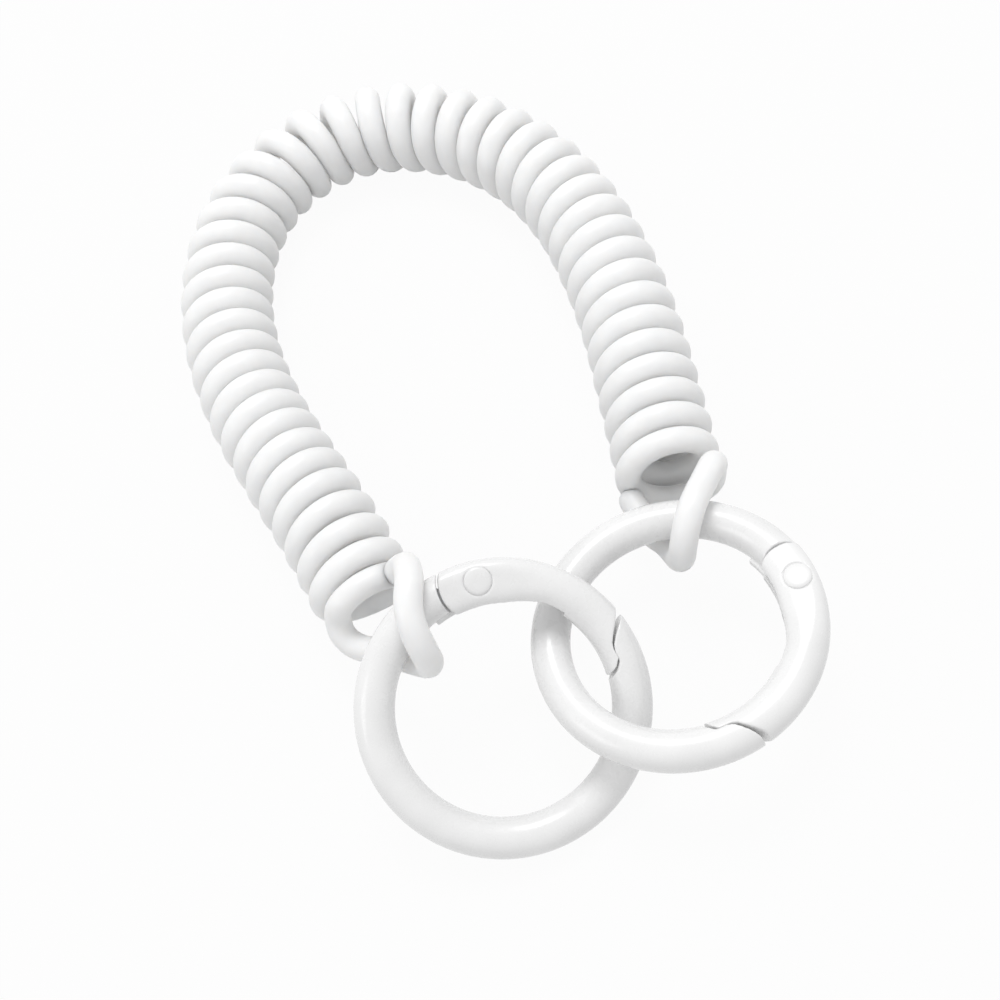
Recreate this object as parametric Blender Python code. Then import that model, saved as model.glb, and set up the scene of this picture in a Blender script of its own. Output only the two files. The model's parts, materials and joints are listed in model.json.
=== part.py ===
"""Coiled key lanyard: one soft cord wound into an arched coil, with an end loop round each of two linked gate rings.

Metres, +Z up. The lanyard lies on the plane z = 0, and the origin is under the middle of the pair of rings.
"""

import math

import bmesh
import bpy
import numpy as np
from mathutils import Matrix, Vector

# Cord and coil. The turns stand clear of each other, and each is cut flat where it lies on the table.
CORD_DIAMETER = 0.0033
COIL_RADIUS = 0.0053
POINTS_PER_TURN = 10
WHOLE_TURNS = 43
FIRST_ANGLE = math.radians(54)
LAST_ANGLE = 2 * math.pi * WHOLE_TURNS + math.radians(342)
ROUTE_STEPS = 4000
BEND_WINDOW = 401
GAP_CHECK_SHARE = 6
FLAT_TURNS = (5, 21, 38)
FLAT_TURN_SHARE = 3 / 4

# The arch that the coil's middle line follows, from its left end over the crown to its right end.
ARCH_ROUTE = (
    (-0.0201, -0.0138),
    (-0.0213, -0.0067),
    (-0.0232, 0.0021),
    (-0.0258, 0.0120),
    (-0.0283, 0.0226),
    (-0.0297, 0.0342),
    (-0.0290, 0.0464),
    (-0.0254, 0.0582),
    (-0.0188, 0.0675),
    (-0.0097, 0.0727),
    (0.0003, 0.0731),
    (0.0097, 0.0688),
    (0.0176, 0.0610),
    (0.0232, 0.0506),
    (0.0260, 0.0390),
    (0.0266, 0.0272),
    (0.0259, 0.0161),
    (0.0244, 0.0057),
    (0.0230, -0.0028),
    (0.0215, -0.0112),
)

# Spacing of the turns along the inside of the arch, from its left end to its right end, as shares of the mean.
SPACING_SHARES = (1.00, 1.00, 1.07, 0.93, 1.03, 0.98, 0.92)

# End loops. Each wraps round a ring's wire, with an arm to the coil and an arm to the bonded tip.
LOOP_CLEARANCE = 0.0006
WRAP_POINTS = 10
LOOP_STEP = 0.0017
LOOPS = {
    "left": {
        "wrap_along": (math.radians(141), math.radians(130), math.radians(105)),
        "wrap_around": (math.radians(266), math.radians(12)),
        "coil_arm": (
            (-0.0244, -0.0139, 0.0087),
            (-0.0244, -0.0151, 0.0076),
            (-0.0237, -0.0169, 0.0076),
            (-0.0225, -0.0187, 0.0087),
            (-0.0211, -0.0206, 0.0104),
        ),
        "tip_arm": (
            (-0.0126, -0.0139, 0.0160),
            (-0.0130, -0.0121, 0.0133),
        ),
    },
    "right": {
        "wrap_along": (math.radians(54), math.radians(66), math.radians(80)),
        "wrap_around": (math.radians(60), math.radians(268)),
        "coil_arm": (
            (0.0267, -0.0126, 0.0084),
            (0.0267, -0.0134, 0.0110),
            (0.0260, -0.0148, 0.0133),
        ),
        "tip_arm": (
            (0.0166, -0.0162, 0.0052),
            (0.0164, -0.0129, 0.0057),
        ),
    },
}

# Rings: both are the same part.
RING_OUTER_DIAMETER = 0.0350
WIRE_DIAMETER = 0.0048
WIRE_STEPS = 60
WIRE_SIDES = 16
ARC_STEPS = 12
SHARP_ANGLE = math.radians(35)

# The rings are linked: their centre lines overlap by a set amount across a link point, whatever the rings' size.
LINK = (0.0030, -0.03295)
LINK_HEADING = math.radians(3.9)
RING_OVERLAP = 0.00815
RIGHT_RING_RISE = 0.00045
RINGS = {
    "left": {
        "from_link": -1,
        "tilt": math.radians(32.0),
        "lean_towards": math.radians(-81.5),
        "rivet_at": math.radians(84.5),
    },
    "right": {
        "from_link": 1,
        "tilt": math.radians(6.0),
        "lean_towards": math.radians(132.7),
        "rivet_at": math.radians(-3.0),
    },
}

# Gate, its hinge and its latch. Angles run from the rivet; the gate reaches the negative way round.
GATE_EXTRA_WIDTH = 0.0005
GATE_SOCKET_RADIUS = 0.0046
SOCKET_FROM = math.radians(25)
SOCKET_TO = math.radians(155)
GATE_GAP = 0.00025
GATE_ROOF = 0.0006
SLOT_WIDTH = 0.0024
SLOT_END = math.radians(-17)
LATCH_ANGLES = (math.radians(-68), math.radians(-77), math.radians(-79), math.radians(-84), math.radians(-95))
LATCH_RADIUS_SHARES = (1.35, 0.42, 0.10, -0.25, -1.45)
LATCH_GAP = 0.0003

TONGUE_THICKNESS = 0.0009
TONGUE_OFFSET = 0.0006
TONGUE_EYE_RADIUS = 0.0014
TONGUE_EYE_FROM = math.radians(-81)
TONGUE_EYE_TO = math.radians(54)
TONGUE_BACK_ANGLE = math.radians(9)
TONGUE_INSET = 0.0002
TONGUE_HEEL_ANGLE = math.radians(-13)
TONGUE_HEEL_HEIGHT = 0.0010

RIVET_SHANK_RADIUS = 0.0007
RIVET_HEAD_RADIUS = 0.0016
RIVET_HEAD_THICKNESS = 0.0006
RIVET_PROUD = 0.0001
RIVET_CLEARANCE = 0.0002
RIVET_RUNNING_GAP = 0.0001
RIVET_STEPS = 24

SPRING_WIRE = 0.0003
SPRING_RADIUS = 0.00125
SPRING_TURNS = 2
SPRING_PITCH = 0.00036
SPRING_LEG = 0.0022
SPRING_POINTS_PER_TURN = 12

CUT_OVERRUN = 0.002
WELD = 0.000001

# Colours and finishes.
CORD_WHITE = (0.86, 0.86, 0.85, 1.0)
RING_WHITE = (0.88, 0.88, 0.88, 1.0)
SPRING_STEEL = (0.60, 0.61, 0.62, 1.0)

WIRE_RADIUS = WIRE_DIAMETER / 2
RING_RADIUS = RING_OUTER_DIAMETER / 2 - WIRE_RADIUS
CORD_RADIUS = CORD_DIAMETER / 2
FLAT_DEPTH = CORD_DIAMETER / 10
COIL_HEIGHT = COIL_RADIUS + CORD_RADIUS - FLAT_DEPTH
FULL_TURN = 2 * math.pi
MILLIMETRES = 1000
UP = Vector((0, 0, 1))


def clear_scene():
    for item in list(bpy.data.objects):
        bpy.data.objects.remove(item, do_unlink=True)


def material(name, colour, roughness, metallic=0.0):
    made = bpy.data.materials.new(name)
    made.use_nodes = True
    shader = made.node_tree.nodes["Principled BSDF"]
    shader.inputs["Base Color"].default_value = colour
    shader.inputs["Roughness"].default_value = roughness
    shader.inputs["Metallic"].default_value = metallic
    return made


# Curves in space


def smooth_route(points, steps):
    """A curve through points, as Catmull-Rom spans, at even steps along its length."""
    held = [2 * np.array(points[0]) - np.array(points[1])]
    held += [np.array(p) for p in points]
    held += [2 * np.array(points[-1]) - np.array(points[-2])]
    per_span = steps // (len(points) - 1)
    dense = []
    for before, start, end, after in zip(held, held[1:], held[2:], held[3:]):
        for t in np.arange(per_span) / per_span:
            dense.append(
                (2 * start + (end - before) * t + (2 * before - 5 * start + 4 * end - after) * t**2
                 + (3 * start - before - 3 * end + after) * t**3) / 2
            )
    dense.append(np.array(points[-1]))
    dense = np.array(dense)
    along = np.concatenate([[0], np.cumsum(np.linalg.norm(np.diff(dense, axis=0), axis=1))])
    even = np.linspace(0, along[-1], steps)
    return even, np.array([np.interp(even, along, axis) for axis in dense.T]).T


class Coil:
    """The helix on the arch. Its angle is 0 on the arch's outside and a quarter turn on top."""

    def __init__(self):
        along, line = smooth_route(ARCH_ROUTE, ROUTE_STEPS)
        heading = np.gradient(line, along, axis=0)
        heading /= np.linalg.norm(heading, axis=1)[:, None]
        turning = np.abs(np.gradient(np.unwrap(np.arctan2(heading[:, 1], heading[:, 0])), along))
        turning = np.convolve(turning, np.ones(BEND_WINDOW) / BEND_WINDOW, mode="same")
        # The turns are spaced along the inside of the arch, where they come closest to each other.
        spacing = np.interp(along / along[-1], np.linspace(0, 1, len(SPACING_SHARES)), SPACING_SHARES)
        rate = (1 - COIL_RADIUS * turning) / spacing
        wound = np.concatenate([[0], np.cumsum((rate[1:] + rate[:-1]) / 2 * np.diff(along))])
        self.along, self.line, self.heading = along, line, heading
        self.angle_at = wound / wound[-1] * LAST_ANGLE

    def place(self, angle):
        along = np.interp(angle, self.angle_at, self.along)
        x, y = (np.interp(along, self.along, axis) for axis in self.line.T)
        heading = np.array([np.interp(along, self.along, axis) for axis in self.heading.T])
        outward = Vector((-heading[1], heading[0], 0)).normalized()
        centre = Vector((x, y, COIL_HEIGHT))
        return centre + COIL_RADIUS * (math.cos(angle) * outward + math.sin(angle) * UP)

    def points(self):
        count = round((LAST_ANGLE - FIRST_ANGLE) / FULL_TURN * POINTS_PER_TURN)
        return [self.place(angle) for angle in np.linspace(FIRST_ANGLE, LAST_ANGLE, count + 1)]


def ring_frame(side):
    """The ring's own frame: its centre, and axes with Z along the ring's axis and X towards its rivet."""
    ring = RINGS[side]
    lean = Vector((math.cos(ring["lean_towards"]), math.sin(ring["lean_towards"]), 0))
    axis = (math.cos(ring["tilt"]) * UP + math.sin(ring["tilt"]) * lean).normalized()
    level = Vector((0, 1, 0)).cross(axis).normalized()
    raised = axis.cross(level)
    rivet = math.cos(ring["rivet_at"]) * level + math.sin(ring["rivet_at"]) * raised
    frame = Matrix((rivet, axis.cross(rivet), axis)).transposed().to_4x4()
    away = ring["from_link"] * (RING_RADIUS - RING_OVERLAP / 2)
    # The left ring's low side rests on the table.
    height = RING_RADIUS * math.sin(RINGS["left"]["tilt"]) + WIRE_RADIUS
    if side == "right":
        height += RIGHT_RING_RISE
    frame.translation = Vector((
        LINK[0] + away * math.cos(LINK_HEADING),
        LINK[1] + away * math.sin(LINK_HEADING),
        height,
    ))
    return frame


def wire_place(side, angle, around, reach):
    """A point at a reach from the ring's wire. The angle runs round the ring from the frame's level axis."""
    frame = ring_frame(side)
    local = angle - RINGS[side]["rivet_at"]
    outward = Vector((math.cos(local), math.sin(local), 0))
    offset = reach * (math.cos(around) * outward + math.sin(around) * UP)
    return frame @ (RING_RADIUS * outward + offset)


def wrap_points(side):
    """The loop round the ring's wire, from the arm of the coil through the ring's hole to the arm of the tip."""
    start, middle, end = LOOPS[side]["wrap_along"]
    found = []
    for share, around in zip(np.linspace(0, 1, WRAP_POINTS), np.linspace(*LOOPS[side]["wrap_around"], WRAP_POINTS)):
        along = start + (end - start) * share + 4 * (middle - (start + end) / 2) * share * (1 - share)
        # The gate is wider than the wire on the ring's inside only, and it passes here when the ring turns.
        gate_room = GATE_EXTRA_WIDTH * max(0, -math.cos(around))
        found.append(wire_place(side, along, around, WIRE_RADIUS + gate_room + CORD_RADIUS + LOOP_CLEARANCE))
    return found


def loop_route(side, leaving):
    """A loop from the coil's end to the tip, as even steps on a smooth curve. Leaving holds the coil's last points."""
    through = leaving + list(LOOPS[side]["coil_arm"]) + wrap_points(side) + list(LOOPS[side]["tip_arm"])
    along, line = smooth_route([tuple(place) for place in through], ROUTE_STEPS)
    last_turn = sum((Vector(b) - Vector(a)).length for a, b in zip(leaving, leaving[1:]))
    count = round((along[-1] - last_turn) / LOOP_STEP)
    steps = np.linspace(last_turn, along[-1], count + 1)[1:]
    return [Vector(place) for place in np.array([np.interp(steps, along, axis) for axis in line.T]).T]


def cord_route():
    """The whole cord, from its tip at the left ring to its tip at the right ring."""
    coil = Coil().points()
    left = loop_route("left", coil[2::-1])
    right = loop_route("right", coil[-3:])
    return left[::-1] + coil + right


def least_self_gap(route):
    """The cord's least clearance to itself, between points more than half a turn apart along it."""
    points = np.array([tuple(p) for p in route])
    steps = np.linalg.norm(np.diff(points, axis=0), axis=1)
    along = np.concatenate([[0], np.cumsum(steps)])
    least = math.inf
    fine = np.linspace(0, along[-1], len(points) * GAP_CHECK_SHARE)
    dense = np.array([np.interp(fine, along, axis) for axis in points.T]).T
    for here, place in zip(fine, dense):
        far = np.abs(fine - here) > math.pi * COIL_RADIUS
        least = min(least, np.linalg.norm(dense[far] - place, axis=1).min())
    return least - CORD_DIAMETER


# Solids


def tube(name, route, radius, finish):
    """A round tube along a route, as a curve with a bevel."""
    curve = bpy.data.curves.new(name, "CURVE")
    curve.dimensions = "3D"
    curve.bevel_depth = radius
    curve.bevel_resolution = 1
    curve.use_fill_caps = True
    curve.twist_mode = "MINIMUM"
    curve.materials.append(finish)
    spline = curve.splines.new("POLY")
    spline.points.add(len(route) - 1)
    for point, place in zip(spline.points, route):
        point.co = (*place, 1)
    made = bpy.data.objects.new(name, curve)
    bpy.context.collection.objects.link(made)
    return made


def make_cord(finish):
    route = cord_route()
    guide = tube("cord_route", route, CORD_RADIUS, finish)
    bpy.context.view_layer.update()
    solid = bpy.data.meshes.new_from_object(guide.evaluated_get(bpy.context.evaluated_depsgraph_get()))
    bpy.data.objects.remove(guide, do_unlink=True)
    shape = bmesh.new()
    shape.from_mesh(solid)
    bmesh.ops.remove_doubles(shape, verts=shape.verts, dist=WELD)
    shape.to_mesh(solid)
    shape.free()
    solid.shade_smooth()
    cord = object_of("coiled_cord", solid)
    table = cutter("table", prism(table_outline(route), -COIL_HEIGHT, 0), Matrix.Identity(4))
    boolean(cord, table, "DIFFERENCE")
    print(f"cord: {len(route)} points, least gap to itself {least_self_gap(route) * MILLIMETRES:.2f} mm")
    return cord


def table_outline(route):
    """A rectangle that reaches past the cord all round."""
    low = [min(place[axis] for place in route) - CORD_DIAMETER for axis in (0, 1)]
    high = [max(place[axis] for place in route) + CORD_DIAMETER for axis in (0, 1)]
    return [(low[0], low[1]), (high[0], low[1]), (high[0], high[1]), (low[0], high[1])]


def object_of(name, mesh_data, finish=None):
    made = bpy.data.objects.new(name, mesh_data)
    bpy.context.collection.objects.link(made)
    if finish:
        mesh_data.materials.append(finish)
    return made


def mesh_of(name, build):
    mesh_data = bpy.data.meshes.new(name)
    shape = bmesh.new()
    build(shape)
    bmesh.ops.recalc_face_normals(shape, faces=shape.faces)
    shape.to_mesh(mesh_data)
    shape.free()
    mesh_data.shade_smooth()
    mesh_data.set_sharp_from_angle(angle=SHARP_ANGLE)
    return mesh_data


def swept_section(start, end, half_width_in, half_width_out, steps):
    """Builds a round or oval section swept round the ring's axis between two angles."""
    def build(shape):
        corners = []
        for n in range(WIRE_SIDES):
            around = FULL_TURN * (n + 0.5) / WIRE_SIDES
            half = half_width_out if math.cos(around) > 0 else half_width_in
            reach = RING_RADIUS + half * math.cos(around)
            place = Vector((reach * math.cos(start), reach * math.sin(start), WIRE_RADIUS * math.sin(around)))
            corners.append(shape.verts.new(place))
        face = shape.faces.new(corners)
        bmesh.ops.spin(shape, geom=[face], axis=UP, cent=(0, 0, 0), angle=end - start, steps=steps,
                       use_duplicate=False)
    return build


def prism(outline, low, high):
    """Builds an upright prism on an outline in the ring's plane."""
    def build(shape):
        face = shape.faces.new([shape.verts.new((x, y, low)) for x, y in outline])
        raised = bmesh.ops.extrude_face_region(shape, geom=[face])["geom"]
        verts = [item for item in raised if isinstance(item, bmesh.types.BMVert)]
        bmesh.ops.translate(shape, verts=verts, vec=(0, 0, high - low))
    return build


def disc_outline(radius, steps=RIVET_STEPS):
    return [(RING_RADIUS + radius * math.cos(FULL_TURN * n / steps), radius * math.sin(FULL_TURN * n / steps))
            for n in range(steps)]


def arc_outline(radius, start, end, steps=ARC_STEPS):
    return [(radius * math.cos(start + (end - start) * n / steps), radius * math.sin(start + (end - start) * n / steps))
            for n in range(steps + 1)]


def cutter(name, build, frame):
    made = object_of(name, mesh_of(name, build))
    made.hide_render = True
    made.display_type = "WIRE"
    made.matrix_world = frame
    return made


def boolean(target, other, operation):
    step = target.modifiers.new(other.name, "BOOLEAN")
    step.operation = operation
    step.object = other
    step.solver = "EXACT"


def latch_line(shift):
    """The zigzag between the gate's nose and the ring's lip, moved round the ring by a shift."""
    turn = shift / RING_RADIUS
    return [((RING_RADIUS + share * WIRE_RADIUS) * math.cos(angle + turn),
             (RING_RADIUS + share * WIRE_RADIUS) * math.sin(angle + turn))
            for angle, share in zip(LATCH_ANGLES, LATCH_RADIUS_SHARES)]


def gate_side_of_latch(shift):
    """The region of the ring's plane on the gate's side of the latch line, out to past the hinge."""
    inner = RING_RADIUS - WIRE_DIAMETER
    outer = RING_RADIUS + WIRE_DIAMETER
    past_hinge = 2 * GATE_SOCKET_RADIUS / RING_RADIUS
    line = latch_line(shift)
    return (line + arc_outline(inner, LATCH_ANGLES[-1] + shift / RING_RADIUS, past_hinge)
            + arc_outline(outer, past_hinge, LATCH_ANGLES[0] + shift / RING_RADIUS))


def tongue_outline():
    """The ring's tongue: a neck from the ring's end, a round eye on the rivet and a heel along the inside."""
    inner = RING_RADIUS - WIRE_RADIUS + TONGUE_INSET
    neck = (GATE_SOCKET_RADIUS + WIRE_RADIUS) / RING_RADIUS
    inside = arc_outline(inner, neck, TONGUE_HEEL_ANGLE)
    heel = arc_outline(inner + TONGUE_HEEL_HEIGHT, TONGUE_HEEL_ANGLE, TONGUE_HEEL_ANGLE / 2)
    eye = [(RING_RADIUS + TONGUE_EYE_RADIUS * math.cos(a), TONGUE_EYE_RADIUS * math.sin(a))
           for a in np.linspace(TONGUE_EYE_FROM, TONGUE_EYE_TO, ARC_STEPS)]
    back = arc_outline(RING_RADIUS + TONGUE_EYE_RADIUS / 2, TONGUE_BACK_ANGLE, neck)
    return inside + heel + eye + back


def make_ring_body(side, frame, finish):
    name = f"{side}_ring_body"
    start = (GATE_SOCKET_RADIUS - WIRE_RADIUS / 2) / RING_RADIUS
    end = FULL_TURN + LATCH_ANGLES[0] + WIRE_RADIUS / RING_RADIUS
    body = object_of(name, mesh_of(name, swept_section(start, end, WIRE_RADIUS, WIRE_RADIUS, WIRE_STEPS)), finish)
    body.matrix_world = frame
    reach = WIRE_RADIUS + CUT_OVERRUN
    gate_space = cutter(f"{side}_gate_space", prism(gate_side_of_latch(-LATCH_GAP / 2), -reach, reach), frame)
    hinge_space = cutter(f"{side}_hinge_space", prism(disc_outline(GATE_SOCKET_RADIUS + GATE_GAP), -reach, reach),
                         frame)
    low = -TONGUE_OFFSET - TONGUE_THICKNESS / 2
    tongue = cutter(f"{side}_tongue", prism(tongue_outline(), low, low + TONGUE_THICKNESS), frame)
    rivet_hole = cutter(f"{side}_tongue_hole",
                        prism(disc_outline(RIVET_SHANK_RADIUS + RIVET_RUNNING_GAP), -reach, reach), frame)
    near_latch = cutter(f"{side}_latch_zone", latch_zone_build(reach), frame)
    boolean(near_latch, gate_space, "INTERSECT")
    boolean(body, near_latch, "DIFFERENCE")
    boolean(body, hinge_space, "DIFFERENCE")
    boolean(body, tongue, "UNION")
    boolean(body, rivet_hole, "DIFFERENCE")
    return body


def latch_zone_build(reach):
    """A block round the latch, so that the gate's space is cut there and not at the hinge."""
    inner = RING_RADIUS - WIRE_DIAMETER
    outer = RING_RADIUS + WIRE_DIAMETER
    low, high = LATCH_ANGLES[-1] - WIRE_RADIUS / RING_RADIUS, LATCH_ANGLES[0] + WIRE_DIAMETER / RING_RADIUS
    outline = arc_outline(inner, low, high) + arc_outline(outer, high, low)
    return prism(outline, -reach, reach)


def make_gate(side, frame, finish):
    name = f"{side}_gate"
    reach = WIRE_RADIUS + CUT_OVERRUN
    start = (GATE_SOCKET_RADIUS + WIRE_RADIUS / 2) / RING_RADIUS
    end = LATCH_ANGLES[-1] - WIRE_RADIUS / RING_RADIUS
    section = swept_section(start, end, WIRE_RADIUS + GATE_EXTRA_WIDTH, WIRE_RADIUS, WIRE_STEPS // 3)
    gate = object_of(name, mesh_of(name, section), finish)
    hinge = Vector((RING_RADIUS, 0, 0))
    gate.data.transform(Matrix.Translation(-hinge))
    gate.matrix_world = frame @ Matrix.Translation(hinge)
    keep = cutter(f"{side}_gate_keep", prism(gate_side_of_latch(LATCH_GAP / 2), -reach, reach), frame)
    past_hinge = cutter(f"{side}_past_hinge", hinge_end_build(reach), frame)
    half_slot = SLOT_WIDTH / 2
    roof = RING_RADIUS + WIRE_RADIUS - GATE_ROOF
    slot_outline = arc_outline(RING_RADIUS - WIRE_DIAMETER, SLOT_END, 2 * start)
    slot_outline += arc_outline(roof, 2 * start, SLOT_END)
    slot = cutter(f"{side}_slot", prism(slot_outline, -half_slot, half_slot), frame)
    hole = cutter(f"{side}_gate_hole", prism(disc_outline(RIVET_SHANK_RADIUS + RIVET_RUNNING_GAP), -reach, reach), frame)
    boolean(gate, keep, "INTERSECT")
    boolean(gate, past_hinge, "DIFFERENCE")
    boolean(gate, slot, "DIFFERENCE")
    boolean(gate, hole, "DIFFERENCE")
    floor_height = WIRE_RADIUS + RIVET_PROUD - RIVET_HEAD_THICKNESS - RIVET_CLEARANCE
    for face, sign in (("top", 1), ("bottom", -1)):
        low, high = sorted((sign * floor_height, sign * reach))
        sink = cutter(f"{side}_{face}_counterbore",
                      prism(disc_outline(RIVET_HEAD_RADIUS + RIVET_CLEARANCE), low, high), frame)
        boolean(gate, sink, "DIFFERENCE")
    return gate


def hinge_end_build(reach):
    """What lies past the round end of the gate, which turns about the rivet."""
    inner = RING_RADIUS - WIRE_DIAMETER
    outer = RING_RADIUS + WIRE_DIAMETER
    far = 2 * (GATE_SOCKET_RADIUS + WIRE_RADIUS) / RING_RADIUS
    edge = [(RING_RADIUS + GATE_SOCKET_RADIUS * math.cos(a), GATE_SOCKET_RADIUS * math.sin(a))
            for a in np.linspace(SOCKET_FROM, SOCKET_TO, ARC_STEPS)]
    outline = edge + [(inner, edge[-1][1])] + arc_outline(inner, math.asin(edge[-1][1] / inner), far)
    outline += [(outer * math.cos(far), outer * math.sin(far)), (outer + GATE_SOCKET_RADIUS, edge[0][1])]
    return prism(outline, -reach, reach)


def make_rivet(side, frame, finish):
    top = WIRE_RADIUS + RIVET_PROUD
    neck = top - RIVET_HEAD_THICKNESS
    edge = top - RIVET_HEAD_THICKNESS / 3
    half = [(0, top), (RIVET_HEAD_RADIUS / 2, top - RIVET_PROUD / 4), (RIVET_HEAD_RADIUS, edge),
            (RIVET_HEAD_RADIUS, neck), (RIVET_SHANK_RADIUS, neck)]
    profile = half + [(r, -z) for r, z in reversed(half)]

    def build(shape):
        verts = [shape.verts.new((r, 0, z)) for r, z in profile]
        edges = [shape.edges.new(pair) for pair in zip(verts, verts[1:])]
        bmesh.ops.spin(shape, geom=verts + edges, axis=UP, cent=(0, 0, 0), angle=FULL_TURN, steps=RIVET_STEPS,
                       use_merge=True, use_duplicate=False)
        bmesh.ops.remove_doubles(shape, verts=shape.verts, dist=WELD)

    rivet = object_of(f"{side}_rivet", mesh_of(f"{side}_rivet", build), finish)
    rivet.matrix_world = frame @ Matrix.Translation((RING_RADIUS, 0, 0))
    return rivet


def make_spring(side, frame, finish):
    """A wire torsion spring on the rivet, with a leg on the ring's tongue and a leg in the gate."""
    low = -TONGUE_OFFSET + TONGUE_THICKNESS / 2 + SPRING_WIRE / 2 + RIVET_CLEARANCE / 2
    count = SPRING_TURNS * SPRING_POINTS_PER_TURN
    route = [Vector((-SPRING_RADIUS, SPRING_LEG, low))]
    for n in range(count + 1):
        a = math.pi + FULL_TURN * n / SPRING_POINTS_PER_TURN
        rise = SPRING_PITCH * n / SPRING_POINTS_PER_TURN
        route.append(Vector((SPRING_RADIUS * math.cos(a), SPRING_RADIUS * math.sin(a), low + rise)))
    route.append(Vector((-SPRING_RADIUS, -SPRING_LEG, low + SPRING_PITCH * SPRING_TURNS)))
    spring = tube(f"{side}_gate_spring", route, SPRING_WIRE / 2, finish)
    spring.matrix_world = frame @ Matrix.Translation((RING_RADIUS, 0, 0))
    return spring


def world_corners(nodes):
    """The least and greatest coordinates of the nodes."""
    graph = bpy.context.evaluated_depsgraph_get()
    places = []
    for node in nodes:
        solid = node.evaluated_get(graph).to_mesh()
        places.append(np.array([tuple(node.matrix_world @ vertex.co) for vertex in solid.vertices]))
    every = np.concatenate(places)
    return every.min(axis=0), every.max(axis=0)


def stand_under_rings(rings):
    """Moves the whole part, so that the origin is under the middle of the rings, on their lowest level."""
    bpy.context.view_layer.update()
    low, high = world_corners(rings)
    move = Vector((-(low[0] + high[0]) / 2, -(low[1] + high[1]) / 2, -low[2]))
    for item in bpy.data.objects:
        item.matrix_world = Matrix.Translation(move) @ item.matrix_world
    return move


def report(move):
    """Prints where the joints and the flats are, in metres."""
    for side in RINGS:
        frame = Matrix.Translation(move) @ ring_frame(side)
        rivet = frame @ Vector((RING_RADIUS, 0, 0))
        axis = frame.to_3x3() @ UP
        print(f"{side} ring: centre {numbers(frame.translation)}, rivet {numbers(rivet)}, axis {numbers(axis)}")
    coil = Coil()
    for turn in FLAT_TURNS:
        flat = coil.place(FULL_TURN * (turn + FLAT_TURN_SHARE)) + move
        print(f"flat under turn {turn}: {flat.x:.5f}, {flat.y:.5f}")


def numbers(place):
    return ", ".join(f"{value:.5f}" for value in place)


def main():
    clear_scene()
    cord_finish = material("white_soft_plastic", CORD_WHITE, 0.35)
    ring_finish = material("white_coated_metal", RING_WHITE, 0.22)
    rivet_finish = material("white_coated_rivet", RING_WHITE, 0.25)
    spring_finish = material("spring_steel", SPRING_STEEL, 0.3, metallic=1.0)
    make_cord(cord_finish)
    rings = []
    for side in RINGS:
        frame = ring_frame(side)
        rings.append(make_ring_body(side, frame, ring_finish))
        rings.append(make_gate(side, frame, ring_finish))
        rings.append(make_rivet(side, frame, rivet_finish))
        make_spring(side, frame, spring_finish)
    report(stand_under_rings(rings))


main()
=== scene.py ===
"""Looks of the coiled key lanyard: a coil of soft white cord, looped round two linked gate rings."""

import json
import math

import bmesh
import bpy
import numpy as np
from mathutils import Matrix, Vector


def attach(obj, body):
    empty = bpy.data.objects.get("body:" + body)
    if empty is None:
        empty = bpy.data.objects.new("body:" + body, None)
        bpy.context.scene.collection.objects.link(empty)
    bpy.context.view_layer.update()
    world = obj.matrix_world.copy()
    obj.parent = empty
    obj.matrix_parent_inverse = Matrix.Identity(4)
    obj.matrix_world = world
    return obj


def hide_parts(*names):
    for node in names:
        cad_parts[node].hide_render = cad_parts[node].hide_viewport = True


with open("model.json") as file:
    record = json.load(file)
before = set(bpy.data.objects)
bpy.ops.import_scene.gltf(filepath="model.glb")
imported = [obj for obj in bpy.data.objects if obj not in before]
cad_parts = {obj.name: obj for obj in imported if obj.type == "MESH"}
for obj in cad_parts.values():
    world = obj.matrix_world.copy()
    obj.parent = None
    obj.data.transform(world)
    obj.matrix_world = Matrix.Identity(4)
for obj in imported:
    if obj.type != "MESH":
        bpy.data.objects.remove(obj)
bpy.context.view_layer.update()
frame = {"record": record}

FULL_TURN = 2 * math.pi
UP = Vector((0, 0, 1))

# The camera of the photograph.
CAMERA_PLACE = Vector((-0.0030, -0.0579, 0.14095))
CAMERA_RIGHT = Vector((0.93667, -0.29503, -0.18868))
CAMERA_UP = Vector((0.35021, 0.78910, 0.50465))
CAMERA_LENS = 43.3
CAMERA_CLIP = 0.005

# Cord and coil, on the CAD's route, with the turns at their full thickness.
# The strand is thinner towards the cord's ends.
ORIGIN = Vector((-0.0030, 0.0322, 0.0))
STRAND_RADIUS = 0.00206
LOOP_STRAND_RADIUS = 0.00170
TAPER_TURNS = 9
COIL_RADIUS = 0.00504
COIL_HEIGHT = COIL_RADIUS + STRAND_RADIUS
POINTS_PER_TURN = 36
CORD_STEP = 0.0006
EASE_POINTS = 5
FIRST_ANGLE = math.radians(54)
LAST_ANGLE = FULL_TURN * 43 + math.radians(342)
ROUTE_STEPS = 4000
BEND_WINDOW = 401
ARCH_ROUTE = (
    (-0.0201, -0.0138),
    (-0.0213, -0.0067),
    (-0.0232, 0.0021),
    (-0.0258, 0.0120),
    (-0.0283, 0.0226),
    (-0.0297, 0.0342),
    (-0.0290, 0.0464),
    (-0.0254, 0.0582),
    (-0.0188, 0.0675),
    (-0.0097, 0.0727),
    (0.0003, 0.0731),
    (0.0097, 0.0688),
    (0.0176, 0.0610),
    (0.0232, 0.0506),
    (0.0260, 0.0390),
    (0.0266, 0.0272),
    (0.0259, 0.0161),
    (0.0244, 0.0057),
    (0.0230, -0.0028),
    (0.0215, -0.0112),
)

# How far apart the turns stand along the arch, as shares of the usual pitch at even places.
SPACING_SHARES = (0.99, 0.98, 1.03, 0.95, 1.04, 1.00, 0.94)

# At the left end the undersides of the turns lean back along the arch.
LEAN = 0.0020
LEAN_LENGTH = 0.020

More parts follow.
